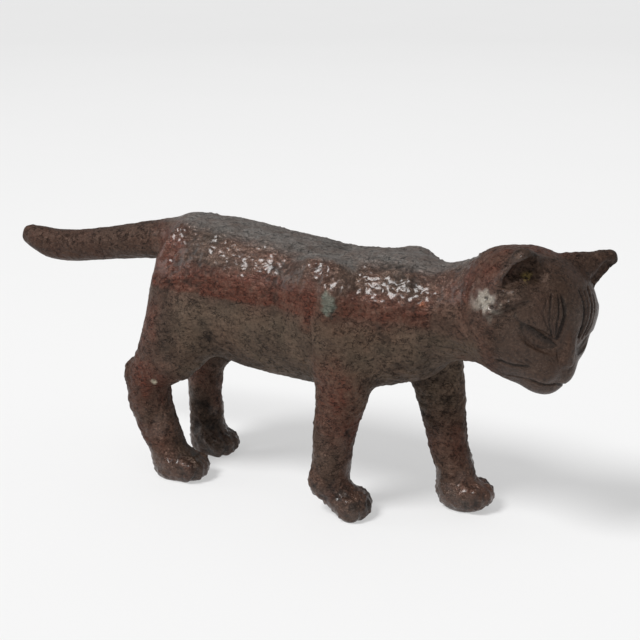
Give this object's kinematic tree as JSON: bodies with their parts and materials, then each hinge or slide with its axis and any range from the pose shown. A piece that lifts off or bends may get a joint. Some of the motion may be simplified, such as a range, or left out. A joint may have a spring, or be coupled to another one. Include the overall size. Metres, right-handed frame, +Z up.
{
  "type": "bronze cat sculpture",
  "caption": "Life-size walking cat cast in dark patinated bronze, head low and turned to its right, tail straight out behind.",
  "frame": {"origin": "middle of the outline seen from above, on the ground plane under the paws", "axes": "+X towards the head, along the body; +Y to the cat's left; +Z up"},
  "size_m": [0.5662, 0.1176, 0.2539],
  "materials": {
    "bronze": "dark brown patina with red-brown and green-grey areas, waxed, glossy on the back and shoulders and duller below"
  },
  "bodies": {
    "root": {"cat": "bronze"}
  },
  "joints": []
}
